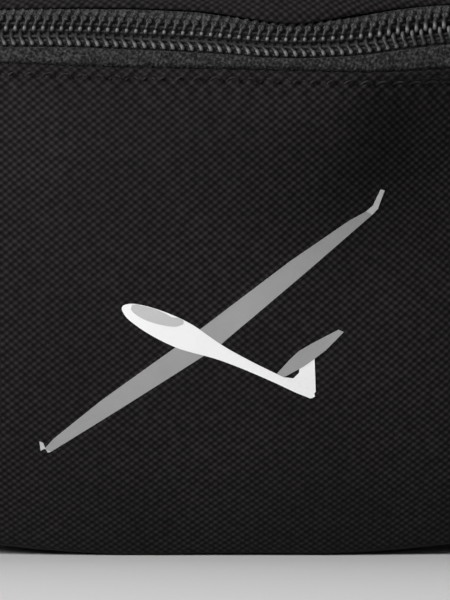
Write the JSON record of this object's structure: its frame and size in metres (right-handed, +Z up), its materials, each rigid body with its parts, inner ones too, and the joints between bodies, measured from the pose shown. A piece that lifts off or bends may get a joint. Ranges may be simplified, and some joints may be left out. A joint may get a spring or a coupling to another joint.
{
  "type": "hip bag",
  "caption": "Black woven hip bag with a curved zipped front pocket, a zipped main compartment, padded back and wings, and a buckled belt.",
  "frame": {"origin": "on the floor, under the middle of the main compartment's flat bottom", "axes": "+Z up, -Y out of the bag's front, +X to the right of somebody looking at the front"},
  "size_m": [0.3382, 0.3217, 0.1428],
  "materials": {
    "shell_fabric": "matt black woven polyester",
    "padding_mesh": "black knitted spacer mesh",
    "zip_tape": "black woven zip tape",
    "zip_coil": "black nylon coil",
    "zip_metal": "black enamel on cast zinc",
    "zip_pull": "moulded black rubber over a metal link",
    "webbing": "black woven belt webbing",
    "buckle_plastic": "black moulded acetal, fine texture",
    "elastic": "black ribbed elastic"
  },
  "bodies": {
    "bag": {"main_compartment": "shell_fabric", "front_pocket": "shell_fabric", "back_panel": "padding_mesh", "pocket_tape_lower": "zip_tape", "pocket_tape_upper": "zip_tape", "pocket_chain": "zip_coil", "pocket_stop_left": "zip_metal", "pocket_stop_right": "zip_metal", "main_tape_front": "zip_tape", "main_tape_back": "zip_tape", "main_chain": "zip_coil", "main_stop_left": "zip_metal", "main_stop_right": "zip_metal", "wing_left": "shell_fabric", "wing_right": "shell_fabric", "webbing_left": "webbing", "webbing_right": "webbing", "buckle_socket": "buckle_plastic", "buckle_plug": "buckle_plastic"},
    "pocket_slider": {"pocket_slider": "zip_metal"},
    "pocket_pull": {"pocket_pull": "zip_pull"},
    "main_slider": {"main_slider": "zip_metal"},
    "main_pull": {"main_pull": "zip_pull"},
    "keeper": {"strap_keeper": "elastic"}
  },
  "joints": [
    {"name": "pocket_zip", "type": "hinge", "parent": "bag", "child": "pocket_slider", "pos_m": [0, 0.38349, 0.112], "axis": [0, 0, -1], "range_deg": [0, 25.23]},
    {"name": "pocket_pull_swing", "type": "hinge", "parent": "pocket_slider", "child": "pocket_pull", "pos_m": [0.09329, -0.03321, 0.11401], "axis": [-0.9758, -0.2185, 0], "range_deg": [0, 180]},
    {"name": "main_zip", "type": "hinge", "parent": "bag", "child": "main_slider", "pos_m": [0, 0.008, -0.2797], "axis": [0, -1, 0], "range_deg": [0, 25.23]},
    {"name": "main_pull_swing", "type": "hinge", "parent": "main_slider", "child": "main_pull", "pos_m": [0.09335, 0.008, 0.13728], "axis": [-0.9758, 0, 0.2185], "range_deg": [0, 210]},
    {"name": "keeper_slide", "type": "hinge", "parent": "bag", "child": "keeper", "pos_m": [0, 0.11, 0.025], "axis": [0, 0, 1], "range_deg": [-9.5, 6.5]}
  ]
}
